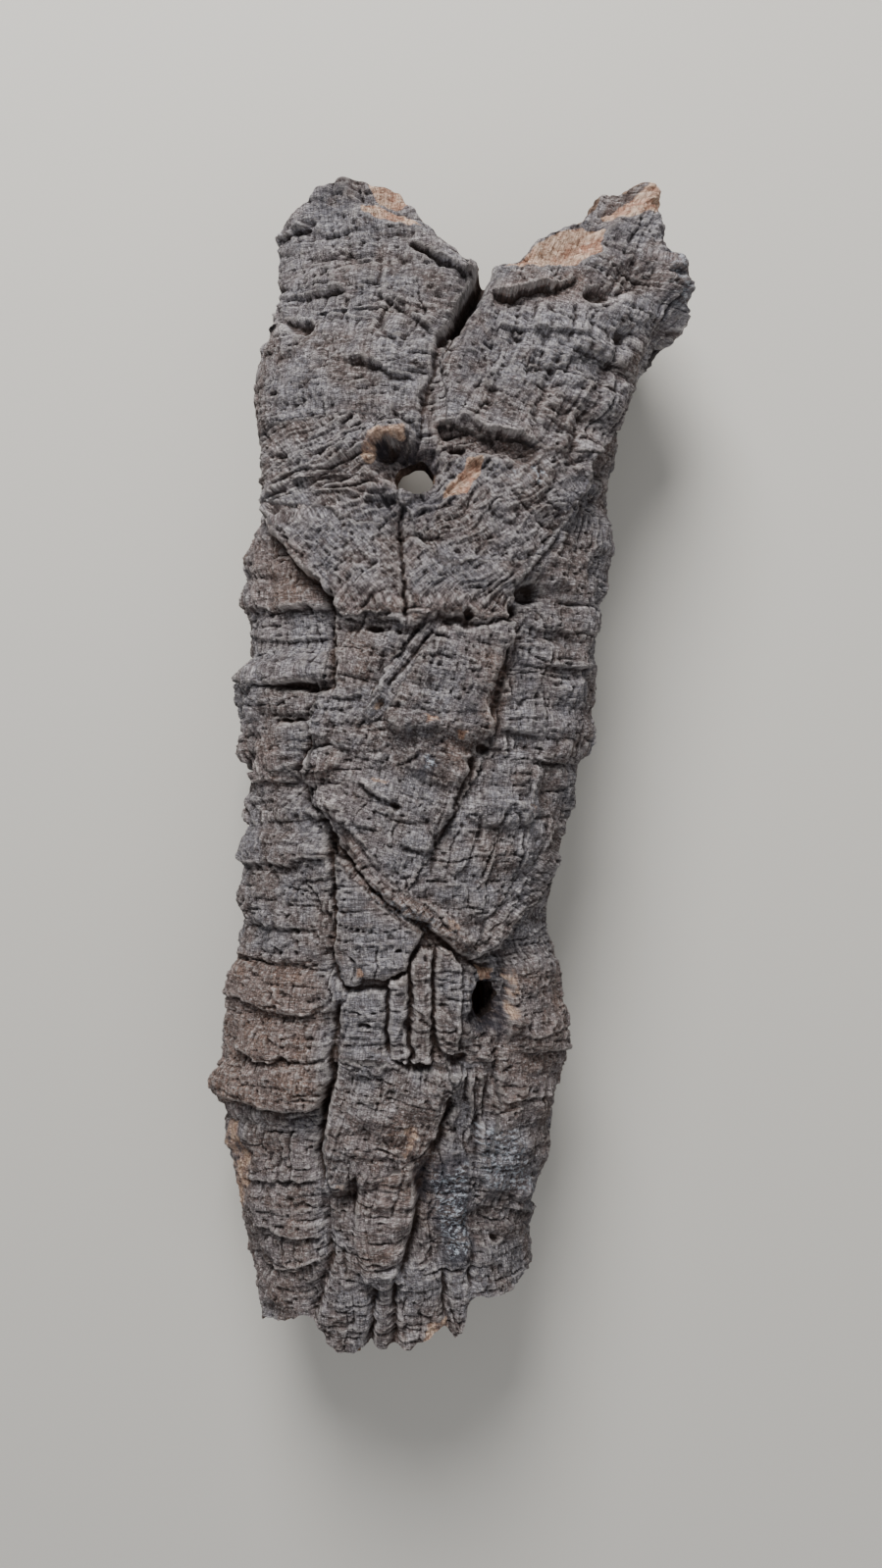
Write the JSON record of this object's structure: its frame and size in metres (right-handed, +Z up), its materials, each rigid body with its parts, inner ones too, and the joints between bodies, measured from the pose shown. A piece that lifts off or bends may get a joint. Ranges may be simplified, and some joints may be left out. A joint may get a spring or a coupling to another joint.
{
  "type": "cork bark tube",
  "caption": "Hollow tube of virgin cork bark with a forked top end, knot holes and deep furrows, lying on its back.",
  "frame": {"origin": "centre of the bounding box at ground level", "axes": "+Y along the tube from the foot to the forked end, +Z up out of the finest face"},
  "size_m": [0.1562, 0.4114, 0.0898],
  "materials": {
    "cork": "rough"
  },
  "bodies": {
    "root": {"cork_bark": "cork"}
  },
  "joints": []
}
